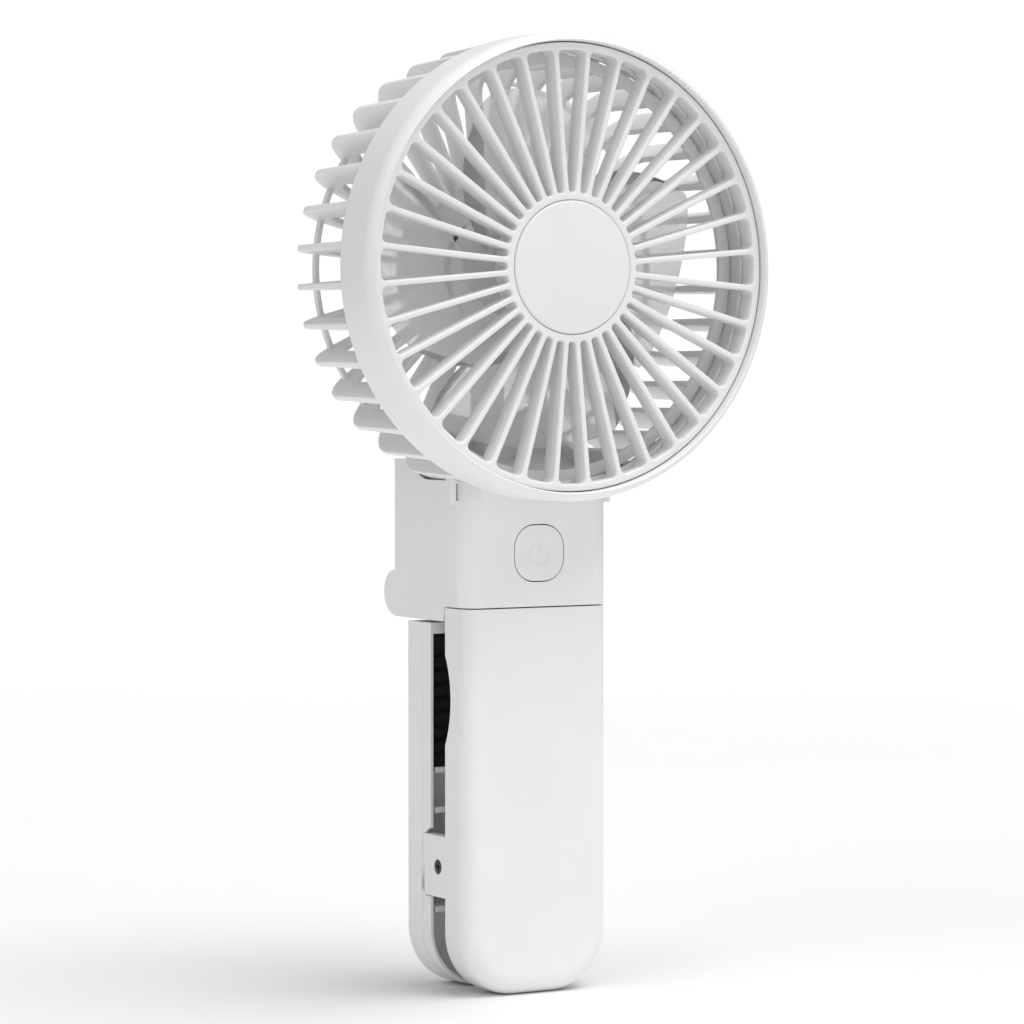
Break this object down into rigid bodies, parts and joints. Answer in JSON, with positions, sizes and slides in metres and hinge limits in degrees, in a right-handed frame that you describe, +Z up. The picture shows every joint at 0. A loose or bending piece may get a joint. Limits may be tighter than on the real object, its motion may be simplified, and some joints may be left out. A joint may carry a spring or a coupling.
{
  "type": "handheld electric fan",
  "caption": "Handheld fan with a round caged head on a square neck that folds back over a flat handle, and a sprung clip plate with a rubber grip pad.",
  "frame": {"origin": "on the floor, at the middle of the box round the whole fan standing upright with its head unfolded", "axes": "+Z up, along the handle and neck; the fan blows towards -Y; +X is the fan's right as seen from the front"},
  "size_m": [0.1044, 0.056, 0.2167],
  "materials": {
    "white_plastic": "fine satin moulded plastic",
    "fan_plastic": "slightly see-through white moulded plastic",
    "rubber": "matt black",
    "steel": "plain turned or stamped steel",
    "dark_screw": "black oxide",
    "brass": "plain",
    "board": "solder mask",
    "black_plastic": "matt",
    "core_steel": "stacked laminations",
    "magnet": "bonded magnet, matt",
    "enamelled_wire": "enamelled copper",
    "lead_insulation": "smooth insulation",
    "cell_foil": "pouch foil"
  },
  "bodies": {
    "handle": {"front_shell": "white_plastic", "rear_cover": "white_plastic", "battery_cell": "cell_foil", "charge_board": "board", "usb_socket": "steel", "battery_leads": "lead_insulation", "cover_screws": "steel", "pivot_pin": "steel", "pivot_screws": "dark_screw", "torsion_spring": "steel"},
    "clip": {"clip_cover": "white_plastic", "clip_frame": "white_plastic", "grip_pad": "rubber"},
    "head": {"hinge_pin": "steel", "friction_washers": "brass", "neck_housing": "white_plastic", "neck_rear_cover": "white_plastic", "neck_screws": "steel", "main_board": "board", "board_components": "black_plastic", "tact_switch": "black_plastic", "ring_cage": "white_plastic", "front_grille": "white_plastic", "hub_cap": "white_plastic", "motor_base": "steel", "motor_screws": "steel", "bearings": "steel", "stator_core": "core_steel", "coils": "enamelled_wire", "driver_board": "board", "motor_leads": "lead_insulation"},
    "button": {"power_button": "white_plastic"},
    "plunger": {"switch_plunger": "brass"},
    "rotor": {"rotor_bell": "steel", "magnet_ring": "magnet", "shaft": "steel", "impeller": "fan_plastic"}
  },
  "joints": [
    {"name": "head_fold", "type": "hinge", "parent": "handle", "child": "head", "pos_m": [0, 0.0228, 0.0903], "axis": [-1, 0, 0], "range_deg": [0, 150]},
    {"name": "clip_open", "type": "hinge", "parent": "handle", "child": "clip", "pos_m": [0, 0.0023, 0.0288], "axis": [-1, 0, 0], "range_deg": [0, 12], "stiffness_Nm_per_rad": 0.6, "springref_deg": -17.19, "deforming": ["torsion_spring"]},
    {"name": "fan_spin", "type": "hinge", "parent": "head", "child": "rotor", "pos_m": [0, 0.0042, 0.1645], "axis": [0, 1, 0], "continuous": true},
    {"name": "button_press", "type": "slide", "parent": "head", "child": "button", "axis": [0, 1, 0], "range_m": [0, 0.0004], "stiffness_N_per_m": 400},
    {"name": "plunger_press", "type": "slide", "parent": "head", "child": "plunger", "axis": [0, 1, 0], "range_m": [0, 0.0004]}
  ],
  "couplings": [
    {"joint": "plunger_press", "follows": "button_press", "ratio": 1}
  ]
}
